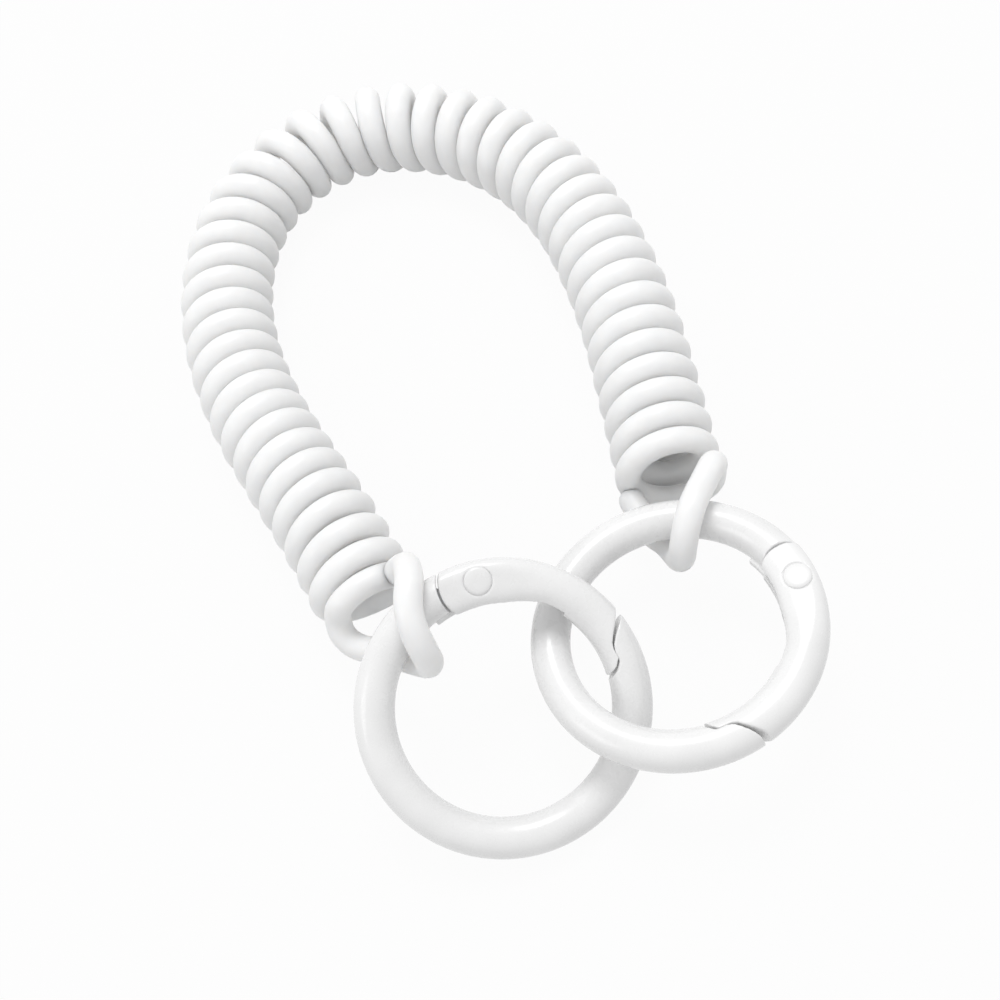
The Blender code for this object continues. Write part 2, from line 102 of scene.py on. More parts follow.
# End loops. Angles along the wire run from the rivet, and angles round it from the ring's outside
# over its top, both in degrees.
LOOP_CLEARANCE = 0.0004
GATE_EXTRA_WIDTH = 0.0005
WRAP_POINTS = 10
LEAVING_POINTS_PER_TURN = 9
LOOPS = {
    "left": {
        "wrap_along": (53, 43, 25),
        "wrap_around": (245, 45),
        "coil_arm": (
            (-0.0243, -0.0136, 0.0094),
            (-0.0248, -0.0152, 0.0076),
            (-0.0238, -0.0170, 0.0067),
            (-0.0220, -0.0187, 0.0073),
            (-0.0202, -0.0204, 0.0088),
        ),
        "tip_arm": (
            (-0.0130, -0.0170, 0.0199),
            (-0.0135, -0.0148, 0.0168),
            (-0.0144, -0.0131, 0.0140),
            (-0.0154, -0.0121, 0.0117),
        ),
    },
    "right": {
        "wrap_along": (59.5, 65.5, 80),
        "wrap_around": (60, 268),
        "coil_arm": (
            (0.0267, -0.0126, 0.0084),
            (0.0267, -0.0133, 0.0112),
            (0.0259, -0.0147, 0.0135),
        ),
        "tip_arm": (
            (0.0166, -0.0162, 0.0052),
            (0.0163, -0.0133, 0.0056),
            (0.0160, -0.0106, 0.0059),
        ),
    },
}

# Tubes. The skew only starts the rings of a tube's points, and no route starts along it.
CORD_SIDES = 20
CAP_RINGS = 5
TUBE_SKEW = (0.3, 0.5, 0.8)

# Rings, with the CAD's sizes. Angles round a ring run from its rivet, and its gate reaches the negative way.
WIRE_RADIUS = 0.0024
RING_RADIUS = 0.0151
WIRE_STEP = math.radians(2)
WIRE_SIDES = 48
ARC_STEPS = 24
CUTTER_REACH = 2 * WIRE_RADIUS
SKIN_VOXEL = 0.00013
SKIN_SMOOTHING = 6
SKIN_SOFTNESS = 0.5

# Gate: wider inside and squarer in section near the rivet, where its flat top carries the rivet's head.
# The tables give degrees from the rivet, and the width added or the squareness there.
GATE_WIDTHS = ((-100, 0.00012), (-32, 0.00012), (-12, 0.00065), (8, 0.00075), (24, 0.00070))
GATE_SQUARENESS = ((-100, 0.0), (-34, 0.0), (-12, 1.3), (24, 1.3))
PLAIN = ((0, 0),)
SOCKET_RADIUS = 0.0046
SOCKET_FROM = math.radians(25)
SOCKET_TO = math.radians(155)
HINGE_GAP = 0.00025
GATE_ROOF = 0.0006

# Slots under the gate: half the width, and how far round the ring.
SLOTS = ((0.0012, math.radians(-45)), (0.0006, math.radians(-52)))

# Latch: the seam between the gate's nose and the ring's beak, as degrees and shares of the wire's radius.
LATCH_GAP = 0.00040
LATCH_FLARE = 1.4
LATCH_FLARE_POWER = 4
SEAMS = {
    "left": ((-60.5, 1.40), (-65.7, 0.42), (-68.4, 0.06), (-71.5, -0.22), (-74.5, -0.32),
             (-79.0, -0.30), (-82.6, -0.52), (-86.2, -0.90), (-91.0, -1.60)),
    "right": ((-71.8, 1.40), (-73.6, 0.75), (-75.8, 0.40), (-78.0, 0.10), (-80.5, -0.20),
              (-83.0, -0.31), (-88.5, -0.31), (-91.6, -0.58), (-95.0, -1.00), (-98.5, -1.60)),
}

# Tongue: part of the ring's body, which holds the rivet inside the gate.
TONGUE_LOW = -0.00105
TONGUE_HIGH = -0.00015
TONGUE_PROUD = 0.0005
TONGUE_EYE_RADIUS = 0.0014
TONGUE_EYE_FROM = math.radians(-81)
TONGUE_EYE_TO = math.radians(54)
TONGUE_BACK_ANGLE = math.radians(9)
TONGUE_HEEL_ANGLE = math.radians(-13)
TONGUE_HEEL_STEPS = 4

# Rivet: half of its outline, from the middle of a head to the shank.
RIVET_PROFILE = (
    (0, 0.00252),
    (0.0008, 0.00251),
    (0.0013, 0.00246),
    (0.00154, 0.00238),
    (0.00163, 0.00226),
    (0.00163, 0.0021),
    (0.0007, 0.0021),
)
SHANK_RADIUS = RIVET_PROFILE[-1][0]
RIVET_STEPS = 48
RIVET_EDGE = math.radians(40)
COUNTERBORE_RADIUS = 0.00174
COUNTERBORE_FLOOR = 0.0021
MERGE_DISTANCE = 0.000001

SPRING_WIRE = 0.00015
SPRING_SIDES = 12
SPRING_RADIUS = 0.00125
SPRING_LOW = 0.0001
SPRING_PITCH = 0.00036
SPRING_TURNS = 2
SPRING_LEG = 0.0022
SPRING_POINTS_PER_TURN = 24

# Materials. A noise is its scale, detail and distortion, and a bump's depth is in metres.
NOISE_LOW = 0.3
NOISE_HIGH = 0.7
CORD_TINTS = ((0.85, 0.85, 0.85, 1), (0.90, 0.90, 0.895, 1))
CORD_ROUGHNESS = (0.30, 0.44)
CORD_SHEEN_NOISE = (700, 3)
CORD_BROAD_NOISE = (260, 2)
CORD_BROAD_DEPTH = 0.00012
CORD_FINE_NOISE = (2600, 3)
CORD_FINE_DEPTH = 0.000006
COATING_TINTS = ((0.82, 0.82, 0.82, 1), (0.87, 0.87, 0.87, 1))
COATING_TINT_NOISE = (180, 3)
COATING_ROUGHNESS = (0.23, 0.34)
COATING_SHEEN_NOISE = (900, 3)
COATING_PEEL_NOISE = (1500, 2)
COATING_PEEL_DEPTH = 0.000003
COATING_WAVE_NOISE = (140, 1)
COATING_WAVE_DEPTH = 0.00006
STEEL_TINTS = ((0.45, 0.46, 0.48, 1), (0.66, 0.67, 0.69, 1))
STEEL_ROUGHNESS = (0.22, 0.40)
STEEL_NOISE = (5000, 4, 0.6)
STEEL_DEPTH = 0.000004

# Light and floor.
KEY_DIRECTION = Vector((0.12, 0.45, 1.0))
KEY_POWER = 1.3
SIDE_DIRECTION = Vector((-0.85, -0.15, 0.55))
SIDE_POWER = 0.35
LAMP_DISTANCE = 0.60
LAMP_SIZE = 0.24
LOOK_AT = Vector((0.0, 0.03, 0.007))
WORLD_LEVEL = 0.76
WHITE = (1, 1, 1, 1)
FLOOR_SIZE = 1.2
FLOOR_COLOUR = (0.60, 0.60, 0.60, 1)
FLOOR_ROUGHNESS = 0.9
FLOOR_SHOW = 0.95


# Curves in space


def lengths_of(line):
    """The length along a line to each of its points."""
    return np.concatenate([[0], np.cumsum(np.linalg.norm(np.diff(line, axis=0), axis=1))])


def points_at(wanted, along, line):
    """The points of a line at the wanted lengths along it."""
    return np.array([np.interp(wanted, along, axis) for axis in line.T]).T


def smooth_route(points, steps):
    """A curve through points, as Catmull-Rom spans, at even steps along its length."""
    held = [2 * np.array(points[0]) - np.array(points[1])]
    held += [np.array(p) for p in points]
    held += [2 * np.array(points[-1]) - np.array(points[-2])]
    per_span = steps // (len(points) - 1)
    dense = []
    for before, start, end, after in zip(held, held[1:], held[2:], held[3:]):
        for t in np.arange(per_span) / per_span:
            dense.append(
                (2 * start + (end - before) * t + (2 * before - 5 * start + 4 * end - after) * t**2
                 + (3 * start - before - 3 * end + after) * t**3) / 2
            )
    dense.append(np.array(points[-1]))
    dense = np.array(dense)
    along = lengths_of(dense)
    even = np.linspace(0, along[-1], steps)
    return even, points_at(even, along, dense)


def strand_radius(angle):
    """The strand's radius at an angle of the coil: thin at the coil's ends, and full a few turns in."""
    turns_in = np.minimum(angle - FIRST_ANGLE, LAST_ANGLE - angle) / FULL_TURN
    share = np.clip(turns_in / TAPER_TURNS, 0, 1)
    return LOOP_STRAND_RADIUS + (STRAND_RADIUS - LOOP_STRAND_RADIUS) * share * share * (3 - 2 * share)


class Coil:
    """The helix on the arch. Its angle is 0 on the arch's outside and a quarter turn on top."""

    def __init__(self):
        along, line = smooth_route(ARCH_ROUTE, ROUTE_STEPS)
        heading = np.gradient(line, along, axis=0)
        heading /= np.linalg.norm(heading, axis=1)[:, None]
        turning = np.abs(np.gradient(np.unwrap(np.arctan2(heading[:, 1], heading[:, 0])), along))
        turning = np.convolve(turning, np.ones(BEND_WINDOW) / BEND_WINDOW, mode="same")
        spacing = np.interp(along / along[-1], np.linspace(0, 1, len(SPACING_SHARES)), SPACING_SHARES)
        rate = (1 - COIL_RADIUS * turning) / spacing
        wound = np.concatenate([[0], np.cumsum((rate[1:] + rate[:-1]) / 2 * np.diff(along))])
        self.along, self.line, self.heading = along, line, heading
        self.angle_at = wound / wound[-1] * LAST_ANGLE

    def place(self, angle):
        along = np.interp(angle, self.angle_at, self.along)
        along += LEAN * ((1 - math.sin(angle)) / 2) ** 2 * math.exp(-along / LEAN_LENGTH)
        x, y = (np.interp(along, self.along, axis) for axis in self.line.T)
        heading = [np.interp(along, self.along, axis) for axis in self.heading.T]
        outward = Vector((-heading[1], heading[0], 0)).normalized()
        centre = ORIGIN + Vector((x, y, COIL_HEIGHT))
        reach = float(COIL_HEIGHT - strand_radius(angle))
        return centre + reach * (math.cos(angle) * outward + math.sin(angle) * UP)

    def points(self):
        count = round((LAST_ANGLE - FIRST_ANGLE) / FULL_TURN * POINTS_PER_TURN)
        return [self.place(angle) for angle in np.linspace(FIRST_ANGLE, LAST_ANGLE, count + 1)]


def joint(name):
    return next(item for item in frame["record"]["behaviour"]["joints"] if item["name"] == name)


def ring_frame(side):
    """The ring's own frame: its centre, and axes with Z along the ring's axis and X towards its rivet."""
    spin, hinge = joint(f"{side}_ring_spin"), joint(f"{side}_gate_hinge")
    centre = Vector(spin["pos_m"])
    axis = Vector(spin["axis"]).normalized()
    across = axis.cross(Vector(hinge["pos_m"]) - centre).normalized()
    placed = Matrix((across.cross(axis), across, axis)).transposed().to_4x4()
    placed.translation = centre
    return placed


def wire_place(placed, along, around, reach):
    """A point at a reach from the ring's wire, with angles in radians."""
    outward = Vector((math.cos(along), math.sin(along), 0))
    return placed @ (RING_RADIUS * outward + reach * (math.cos(around) * outward + math.sin(around) * UP))


def wrap_points(side):
    """The loop round the ring's wire, from the coil's arm through the ring's hole to the tip's arm."""
    placed = ring_frame(side)
    start, middle, end = (math.radians(a) for a in LOOPS[side]["wrap_along"])
    first, last = (math.radians(a) for a in LOOPS[side]["wrap_around"])
    found = []
    for share in np.linspace(0, 1, WRAP_POINTS):
        along = start + (end - start) * share + 4 * (middle - (start + end) / 2) * share * (1 - share)
        around = first + (last - first) * share
        gate_room = GATE_EXTRA_WIDTH * max(0, -math.cos(around))
        reach = WIRE_RADIUS + gate_room + LOOP_STRAND_RADIUS + LOOP_CLEARANCE
        found.append(wire_place(placed, along, around, reach))
    return found


def eased(line):
    """A line with its sharp turns eased: each point becomes the mean of the points about it."""
    reach = EASE_POINTS // 2
    padded = np.pad(line, ((reach, reach), (0, 0)), mode="edge")
    weights = np.ones(EASE_POINTS) / EASE_POINTS
    return np.array([np.convolve(axis, weights, mode="valid") for axis in padded.T]).T


def loop_route(side, leaving):
    """A loop from the coil's end to the tip, at even steps. Leaving holds the coil's last points."""
    coil_arm = [ORIGIN + Vector(place) for place in LOOPS[side]["coil_arm"]]
    tip_arm = [ORIGIN + Vector(place) for place in LOOPS[side]["tip_arm"]]
    through = leaving + coil_arm + wrap_points(side) + tip_arm
    along, line = smooth_route([tuple(place) for place in through], ROUTE_STEPS)
    last_turn = sum((b - a).length for a, b in zip(leaving, leaving[1:]))
    count = round((along[-1] - last_turn) / CORD_STEP)
    steps = np.linspace(last_turn, along[-1], count + 1)[1:]
    return [Vector(place) for place in points_at(steps, along, line)]


def cord_route():
    """The whole cord at even steps from the left ring's tip to the right ring's, and its radius there."""
    coil = Coil().points()
    stride = POINTS_PER_TURN // LEAVING_POINTS_PER_TURN
    left = loop_route("left", coil[2 * stride::-stride])
    right = loop_route("right", coil[-1 - 2 * stride::stride])
    points = np.array([tuple(place) for place in left[::-1] + coil + right])
    wound = np.linspace(FIRST_ANGLE, LAST_ANGLE, len(coil))
    radius = np.pad(strand_radius(wound), (len(left), len(right)), constant_values=LOOP_STRAND_RADIUS)
    along = lengths_of(points)
    even = np.linspace(0, along[-1], round(along[-1] / CORD_STEP) + 1)
    line = eased(points_at(even, along, points))
    return [Vector(place) for place in line], np.interp(even, along, radius)


# Solids


def object_of(name, mesh_data, finish=None):
    made = bpy.data.objects.new(name, mesh_data)
    bpy.context.collection.objects.link(made)
    if finish:
        mesh_data.materials.append(finish)
    return made


def transported(route):
    """A route's points, with the way ahead at each and two directions square to it that turn least."""
    points = np.array([tuple(place) for place in route])
    ahead = np.gradient(points, axis=0)
    ahead /= np.linalg.norm(ahead, axis=1)[:, None]
    side = np.cross(ahead[0], TUBE_SKEW)
    first, second = [], []
    for direction in ahead:
        side = side - direction * side.dot(direction)
        side /= np.linalg.norm(side)
        first.append(side)
        second.append(np.cross(direction, side))
    return points, ahead, np.array(first), np.array(second)


def tube_stations(points, ahead, first, second, radius):
    """The centre, radius and two directions of each ring of a tube's points, with those of its round ends."""
    ends = []
    for end, sign in ((0, -1), (-1, 1)):
        cap = []
        for n in range(1, CAP_RINGS):
            lean = math.pi / 2 * n / CAP_RINGS
            centre = points[end] + sign * radius[end] * math.sin(lean) * ahead[end]
            cap.append((centre, radius[end] * math.cos(lean), first[end], second[end]))
        ends.append(cap)
    return ends[0][::-1] + list(zip(points, radius, first, second)) + ends[1]


def tube_mesh(name, route, radius, sides=CORD_SIDES):
    """A closed round tube along a route, with rounded ends."""
    points, ahead, first, second = transported(route)
    stations = tube_stations(points, ahead, first, second, radius)
    turn = np.arange(sides) * FULL_TURN / sides
    verts = [tuple(points[0] - radius[0] * ahead[0])]
    for place, reach, a, b in stations:
        verts += [tuple(place + reach * (math.cos(t) * a + math.sin(t) * b)) for t in turn]
    verts.append(tuple(points[-1] + radius[-1] * ahead[-1]))
    faces = [(0, 1 + (n + 1) % sides, 1 + n) for n in range(sides)]
    for row in range(len(stations) - 1):
        base = 1 + row * sides
        for n in range(sides):
            m = (n + 1) % sides
            faces.append((base + n, base + m, base + sides + m, base + sides + n))
    last = len(verts) - 1
    base = last - sides
    faces += [(last, base + n, base + (n + 1) % sides) for n in range(sides)]
    mesh_data = bpy.data.meshes.new(name)
    mesh_data.from_pydata(verts, [], faces)
    mesh_data.shade_smooth()
    return mesh_data


# Ring pieces, each built in the ring's own frame


def mesh_of(name, build):
    mesh_data = bpy.data.meshes.new(name)
    shape = bmesh.new()
    build(shape)
    bmesh.ops.recalc_face_normals(shape, faces=shape.faces)
    shape.to_mesh(mesh_data)
    shape.free()
    return mesh_data


def value_at(table, angle):
    """A value from a table of angles in degrees and values, at an angle in radians."""
    return np.interp(math.degrees(angle), *zip(*table))


def wire_section(angle, widths, squareness):
    """The reach from the ring's centre and the height of each point of the wire's section at an angle."""
    power = 2 / (2 + value_at(squareness, angle))
    inside = WIRE_RADIUS + value_at(widths, angle)
    found = []
    for n in range(WIRE_SIDES):
        across, up = math.cos(FULL_TURN * n / WIRE_SIDES), math.sin(FULL_TURN * n / WIRE_SIDES)
        half = WIRE_RADIUS if across > 0 else inside
        reach = RING_RADIUS + half * math.copysign(abs(across) ** power, across)
        found.append((reach, WIRE_RADIUS * math.copysign(abs(up) ** power, up)))
    return found


def wire(start, end, widths=PLAIN, squareness=PLAIN):
    """Builds the wire between two angles. Widths add to its inside, and squareness flattens its sides."""
    def build(shape):
        rows = []
        for angle in np.linspace(start, end, round((end - start) / WIRE_STEP) + 1):
            section = wire_section(angle, widths, squareness)
            x, y = math.cos(angle), math.sin(angle)
            rows.append([shape.verts.new((reach * x, reach * y, height)) for reach, height in section])
        for here, ahead in zip(rows, rows[1:]):
            for n in range(WIRE_SIDES):
                m = (n + 1) % WIRE_SIDES
                shape.faces.new((here[n], here[m], ahead[m], ahead[n]))
        shape.faces.new(rows[0])
        shape.faces.new(rows[-1])
    return build


def prism(outline, low, high):
    """Builds an upright prism on an outline in the ring's plane."""
    def build(shape):
        face = shape.faces.new([shape.verts.new((x, y, low)) for x, y in outline])
        raised = bmesh.ops.extrude_face_region(shape, geom=[face])["geom"]
        verts = [item for item in raised if isinstance(item, bmesh.types.BMVert)]
        bmesh.ops.translate(shape, verts=verts, vec=(0, 0, high - low))
    return build


def cutter(outline):
    """Builds a prism that reaches past the wire above and below."""
    return prism(outline, -CUTTER_REACH, CUTTER_REACH)


def arc(radius, start, end, steps=ARC_STEPS):
    return [(radius * math.cos(a), radius * math.sin(a)) for a in np.linspace(start, end, steps)]


def disc(radius):
    """A circle about the rivet."""
    return [(RING_RADIUS + x, y) for x, y in arc(radius, 0, FULL_TURN, RIVET_STEPS + 1)[:-1]]


def gate_side(side, shift, far):
    """The region of the ring's plane on the gate's side of the latch seam, round to a far angle.

    The shift moves the seam round the ring, and moves its ends more, so that the gap is widest there.
    """
    line = []
    for place, (angle, share) in zip(np.linspace(-1, 1, len(SEAMS[side])), SEAMS[side]):
        moved = shift * (1 + LATCH_FLARE * place ** LATCH_FLARE_POWER) / RING_RADIUS
        line.append((math.radians(angle) + moved, RING_RADIUS + share * WIRE_RADIUS))
    seam = [(reach * math.cos(angle), reach * math.sin(angle)) for angle, reach in line]
    inside = arc(RING_RADIUS - CUTTER_REACH, line[-1][0], far)
    return seam + inside + arc(RING_RADIUS + CUTTER_REACH, far, line[0][0])


def tongue():
    """The ring's tongue: a neck from the ring's end, a round eye on the rivet and a heel along the inside."""
    inner = RING_RADIUS - WIRE_RADIUS - TONGUE_PROUD
    neck = (SOCKET_RADIUS + WIRE_RADIUS) / RING_RADIUS
    heel = arc(inner + WIRE_RADIUS / 2, TONGUE_HEEL_ANGLE, TONGUE_HEEL_ANGLE / 2, TONGUE_HEEL_STEPS)
    eye = [(RING_RADIUS + x, y) for x, y in arc(TONGUE_EYE_RADIUS, TONGUE_EYE_FROM, TONGUE_EYE_TO)]
    back = arc(RING_RADIUS + TONGUE_EYE_RADIUS / 2, TONGUE_BACK_ANGLE, neck)
    return arc(inner, neck, TONGUE_HEEL_ANGLE) + heel + eye + back


def past_hinge():
    """What lies past the round end of the gate, which turns about the rivet."""
    inner, outer = RING_RADIUS - CUTTER_REACH, RING_RADIUS + CUTTER_REACH
    far = 2 * (SOCKET_RADIUS + WIRE_RADIUS) / RING_RADIUS
    edge = [(RING_RADIUS + x, y) for x, y in arc(SOCKET_RADIUS, SOCKET_FROM, SOCKET_TO)]
    outline = edge + [(inner, edge[-1][1])] + arc(inner, math.asin(edge[-1][1] / inner), far)
    return outline + [(outer * math.cos(far), outer * math.sin(far)), (outer + SOCKET_RADIUS, edge[0][1])]


def carved(name, base, steps, placed, finish):
    """A solid cut and joined in steps, with the soft edges of a thick coating, set in the ring's place."""
    piece = object_of(name, mesh_of(name, base), finish)
    others = []
    for operation, build in steps:
        other = object_of(f"{name}_cutter", mesh_of(f"{name}_cutter", build))
        step = piece.modifiers.new(other.name, "BOOLEAN")
        step.operation, step.object, step.solver = operation, other, "EXACT"
        others.append(other)
    skin = piece.modifiers.new("skin", "REMESH")
    skin.mode, skin.voxel_size = "VOXEL", SKIN_VOXEL
    soft = piece.modifiers.new("soft", "SMOOTH")
    soft.factor, soft.iterations = SKIN_SOFTNESS, SKIN_SMOOTHING
    bpy.context.view_layer.update()
    solid = bpy.data.meshes.new_from_object(piece.evaluated_get(bpy.context.evaluated_depsgraph_get()))
    piece.modifiers.clear()
    piece.data = solid
    for other in others:
        bpy.data.objects.remove(other, do_unlink=True)
    solid.transform(placed)
    solid.shade_smooth()
    solid.materials.clear()
    solid.materials.append(finish)
    return piece


def stand_for(piece, node, body):
    """The piece replaces a CAD node: it rides on the node's body, and the node is hidden."""
    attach(piece, body)
    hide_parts(node)


def make_ring_body(side, finish):
    latch = math.radians(SEAMS[side][0][0])
    start = (SOCKET_RADIUS - WIRE_RADIUS / 2) / RING_RADIUS
    end = FULL_TURN + latch + WIRE_RADIUS / RING_RADIUS
    steps = [
        ("DIFFERENCE", cutter(gate_side(side, -LATCH_GAP / 2, latch + 2 * CUTTER_REACH / RING_RADIUS))),
        ("DIFFERENCE", cutter(disc(SOCKET_RADIUS + HINGE_GAP))),
        ("UNION", prism(tongue(), TONGUE_LOW, TONGUE_HIGH)),
        ("DIFFERENCE", cutter(disc(SHANK_RADIUS))),
    ]
    piece = carved(f"{side}_ring_wire", wire(start, end), steps, ring_frame(side), finish)
    stand_for(piece, f"{side}_ring_body", f"{side}_ring")


def make_gate(side, finish):
    start = (SOCKET_RADIUS + WIRE_RADIUS / 2) / RING_RADIUS
    end = math.radians(SEAMS[side][-1][0]) - WIRE_RADIUS / RING_RADIUS
    steps = [
        ("INTERSECT", cutter(gate_side(side, LATCH_GAP / 2, 2 * start))),
        ("DIFFERENCE", cutter(past_hinge())),
    ]
    roof = RING_RADIUS + WIRE_RADIUS - GATE_ROOF
    for half, far in SLOTS:
        outline = arc(RING_RADIUS - CUTTER_REACH, far, 2 * start) + arc(roof, 2 * start, far)
        steps.append(("DIFFERENCE", prism(outline, -half, half)))
    counterbore = disc(COUNTERBORE_RADIUS)
    steps.append(("DIFFERENCE", prism(counterbore, COUNTERBORE_FLOOR, CUTTER_REACH)))
    steps.append(("DIFFERENCE", prism(counterbore, -CUTTER_REACH, -COUNTERBORE_FLOOR)))
    steps.append(("DIFFERENCE", cutter(disc(SHANK_RADIUS))))
    bar = wire(end, start, GATE_WIDTHS, GATE_SQUARENESS)
    piece = carved(f"{side}_gate_bar", bar, steps, ring_frame(side), finish)
    stand_for(piece, f"{side}_gate", f"{side}_gate")


def make_rivet(side, finish):
    profile = list(RIVET_PROFILE) + [(r, -z) for r, z in reversed(RIVET_PROFILE)]

    def build(shape):
        verts = [shape.verts.new((r, 0, z)) for r, z in profile]
        edges = [shape.edges.new(pair) for pair in zip(verts, verts[1:])]
        bmesh.ops.spin(shape, geom=verts + edges, axis=UP, cent=(0, 0, 0), angle=FULL_TURN,
                       steps=RIVET_STEPS, use_merge=True, use_duplicate=False)
        bmesh.ops.remove_doubles(shape, verts=shape.verts, dist=MERGE_DISTANCE)

    piece = object_of(f"{side}_hinge_pin", mesh_of(f"{side}_hinge_pin", build), finish)
    piece.data.transform(ring_frame(side) @ Matrix.Translation((RING_RADIUS, 0, 0)))
    piece.data.shade_smooth()
    piece.data.set_sharp_from_angle(angle=RIVET_EDGE)
    stand_for(piece, f"{side}_rivet", f"{side}_ring")


def make_spring(side, finish):
    """A wire torsion spring on the rivet, with a leg on the ring's tongue and a leg in the gate."""
    route = [(-SPRING_RADIUS, SPRING_LEG, SPRING_LOW)]
    for n in range(SPRING_TURNS * SPRING_POINTS_PER_TURN + 1):
        a = math.pi + FULL_TURN * n / SPRING_POINTS_PER_TURN
        rise = SPRING_PITCH * n / SPRING_POINTS_PER_TURN
        route.append((SPRING_RADIUS * math.cos(a), SPRING_RADIUS * math.sin(a), SPRING_LOW + rise))
    route.append((-SPRING_RADIUS, -SPRING_LEG, SPRING_LOW + SPRING_PITCH * SPRING_TURNS))
    placed = ring_frame(side) @ Matrix.Translation((RING_RADIUS, 0, 0))
    route = [placed @ Vector(place) for place in route]
    name = f"{side}_spring_wire"
    piece = object_of(name, tube_mesh(name, route, np.full(len(route), SPRING_WIRE), SPRING_SIDES), finish)
    stand_for(piece, f"{side}_gate_spring", f"{side}_ring")


# Materials


class Nodes:
    """A material's node tree, with short calls for the nodes used here."""

    def __init__(self, name):
        self.made = bpy.data.materials.new(name)
        self.made.use_nodes = True
        self.tree = self.made.node_tree
        self.shader = self.tree.nodes["Principled BSDF"]
        self.place = self.add("ShaderNodeTexCoord").outputs["Object"]

    def add(self, kind, **values):
        node = self.tree.nodes.new(kind)
        for name, value in values.items():
            node.inputs[name.replace("_", " ")].default_value = value
        return node

    def noise(self, scale, detail, distortion=0.0):
        node = self.add("ShaderNodeTexNoise", Scale=scale, Detail=detail, Distortion=distortion)
        self.join(self.place, node.inputs["Vector"])
        return node.outputs["Fac"]

    def spread(self, fac, low=0, high=1):
        """The middle stretch of a noise, spread from a low to a high value."""
        node = self.add("ShaderNodeMapRange", From_Min=NOISE_LOW, From_Max=NOISE_HIGH,
                        To_Min=low, To_Max=high)
        self.join(fac, node.inputs["Value"])
        return node.outputs["Result"]

    def tint(self, fac, low, high):
        node = self.add("ShaderNodeMix")
        node.data_type = "RGBA"
        node.inputs[6].default_value, node.inputs[7].default_value = low, high
        self.join(fac, node.inputs[0])
        return node.outputs[2]

    def bump(self, height, depth, after=None):
        node = self.add("ShaderNodeBump", Strength=1.0, Distance=depth)
        self.join(height, node.inputs["Height"])
        if after:
            self.join(after, node.inputs["Normal"])
        return node.outputs["Normal"]

    def join(self, start, end):
        self.tree.links.new(start, end)

    def into(self, socket, value):
        self.join(value, self.shader.inputs[socket])

    def fix(self, **values):
        for name, value in values.items():
            self.shader.inputs[name.replace("_", " ")].default_value = value


def cord_material():
    """Soft moulded plastic: milky, with a broad sheen, and slightly uneven where its turns have pressed."""
    nodes = Nodes("soft_white_plastic")
    nodes.fix(IOR=1.46, Subsurface_Weight=0.8, Subsurface_Scale=0.004, Subsurface_Radius=(1.0, 0.95, 0.9))
    broad = nodes.noise(*CORD_BROAD_NOISE)
    fine = nodes.noise(*CORD_FINE_NOISE)
    nodes.into("Base Color", nodes.tint(nodes.spread(broad), *CORD_TINTS))
    nodes.into("Roughness", nodes.spread(nodes.noise(*CORD_SHEEN_NOISE), *CORD_ROUGHNESS))
    nodes.into("Normal", nodes.bump(fine, CORD_FINE_DEPTH, nodes.bump(broad, CORD_BROAD_DEPTH)))
    return nodes.made


def coating_material():
    """Gloss white coating on metal, with faint clouds in its colour, low waves and a fine orange peel."""
    nodes = Nodes("gloss_white_coating")
    nodes.fix(IOR=1.50, Coat_Weight=0.3, Coat_Roughness=0.10)
    nodes.into("Base Color", nodes.tint(nodes.spread(nodes.noise(*COATING_TINT_NOISE)), *COATING_TINTS))
    nodes.into("Roughness", nodes.spread(nodes.noise(*COATING_SHEEN_NOISE), *COATING_ROUGHNESS))
    waves = nodes.bump(nodes.noise(*COATING_WAVE_NOISE), COATING_WAVE_DEPTH)
    nodes.into("Normal", nodes.bump(nodes.noise(*COATING_PEEL_NOISE), COATING_PEEL_DEPTH, waves))
    return nodes.made


def steel_material():
    """Drawn spring wire, with a fine streaky grain."""
    nodes = Nodes("spring_wire")
    nodes.fix(Metallic=1.0)
    streaks = nodes.noise(*STEEL_NOISE)
    nodes.into("Base Color", nodes.tint(nodes.spread(streaks), *STEEL_TINTS))
    nodes.into("Roughness", nodes.spread(streaks, *STEEL_ROUGHNESS))
    nodes.into("Normal", nodes.bump(streaks, STEEL_DEPTH))
    return nodes.made


# Stage


def make_camera():
    data = bpy.data.cameras.new("camera")
    data.lens = CAMERA_LENS
    data.clip_start = CAMERA_CLIP
    camera = bpy.data.objects.new("camera", data)
    bpy.context.collection.objects.link(camera)
    axes = Matrix((CAMERA_RIGHT, CAMERA_UP, CAMERA_RIGHT.cross(CAMERA_UP))).transposed().to_4x4()
    axes.translation = CAMERA_PLACE
    camera.matrix_world = axes
    bpy.context.scene.camera = camera


def make_lamp(name, direction, power):
    data = bpy.data.lights.new(name, "AREA")
    data.energy, data.size = power, LAMP_SIZE
    lamp = bpy.data.objects.new(name, data)
    bpy.context.collection.objects.link(lamp)
    lamp.location = LOOK_AT + direction.normalized() * LAMP_DISTANCE
    lamp.rotation_euler = direction.to_track_quat("Z", "Y").to_euler()


def seen_ray(tree):
    """A socket that is 1 where a ray from the camera, a mirror or glass looks, and 0 for diffuse light."""
    path = tree.nodes.new("ShaderNodeLightPath")
    found = path.outputs["Is Camera Ray"]
    for name in ("Is Glossy Ray", "Is Transmission Ray"):
        either = tree.nodes.new("ShaderNodeMath")
        either.operation = "MAXIMUM"
        tree.links.new(found, either.inputs[0])
        tree.links.new(path.outputs[name], either.inputs[1])
        found = either.outputs[0]
    return found


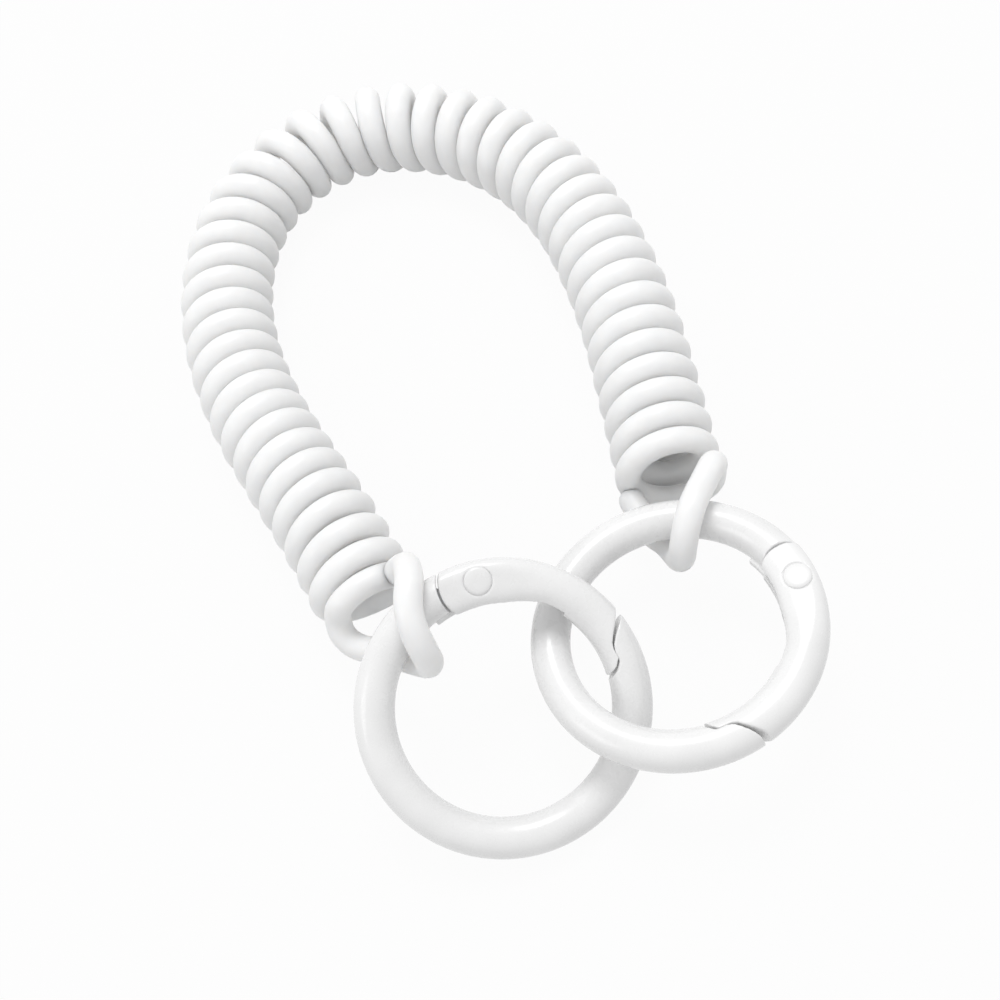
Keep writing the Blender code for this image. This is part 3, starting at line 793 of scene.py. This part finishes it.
def make_world():
    """White where the camera, glass or a mirror sees it, and a plain level of light elsewhere."""
    world = bpy.data.worlds.new("studio")
    bpy.context.scene.world = world
    world.use_nodes = True
    tree = world.node_tree
    seen, lit = tree.nodes["Background"], tree.nodes.new("ShaderNodeBackground")
    seen.inputs["Color"].default_value = lit.inputs["Color"].default_value = WHITE
    seen.inputs["Strength"].default_value = 1.0
    lit.inputs["Strength"].default_value = WORLD_LEVEL
    mix = tree.nodes.new("ShaderNodeMixShader")
    tree.links.new(seen_ray(tree), mix.inputs["Fac"])
    tree.links.new(lit.outputs[0], mix.inputs[1])
    tree.links.new(seen.outputs[0], mix.inputs[2])
    tree.links.new(mix.outputs[0], tree.nodes["World Output"].inputs["Surface"])


def make_floor():
    """A pale floor that shows nearly white to the camera and keeps a faint shadow."""
    half = FLOOR_SIZE / 2
    corners = [(-half, -half, 0), (half, -half, 0), (half, half, 0), (-half, half, 0)]
    mesh_data = bpy.data.meshes.new("floor")
    mesh_data.from_pydata(corners, [], [(0, 1, 2, 3)])
    nodes = Nodes("pale_floor")
    nodes.fix(Roughness=FLOOR_ROUGHNESS, Base_Color=FLOOR_COLOUR)
    glow = nodes.add("ShaderNodeEmission", Strength=1.0, Color=WHITE)
    mix = nodes.tree.nodes.new("ShaderNodeMixShader")
    share = nodes.tree.nodes.new("ShaderNodeMath")
    share.operation = "MULTIPLY"
    share.inputs[1].default_value = FLOOR_SHOW
    nodes.join(seen_ray(nodes.tree), share.inputs[0])
    nodes.join(share.outputs[0], mix.inputs["Fac"])
    nodes.join(nodes.shader.outputs[0], mix.inputs[1])
    nodes.join(glow.outputs[0], mix.inputs[2])
    nodes.join(mix.outputs[0], nodes.tree.nodes["Material Output"].inputs["Surface"])
    object_of("floor", mesh_data, nodes.made)


def make_cord(finish):
    route, radius = cord_route()
    cord = object_of("spiral_cord", tube_mesh("spiral_cord", route, radius), finish)
    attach(cord, "lanyard")
    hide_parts("coiled_cord")


def main():
    bpy.context.scene.view_settings.view_transform = "Standard"
    make_camera()
    make_world()
    make_floor()
    make_lamp("key_lamp", KEY_DIRECTION, KEY_POWER)
    make_lamp("side_lamp", SIDE_DIRECTION, SIDE_POWER)
    make_cord(cord_material())
    coating = coating_material()
    steel = steel_material()
    for side in ("left", "right"):
        make_ring_body(side, coating)
        make_gate(side, coating)
        make_rivet(side, coating)
        make_spring(side, steel)


main()
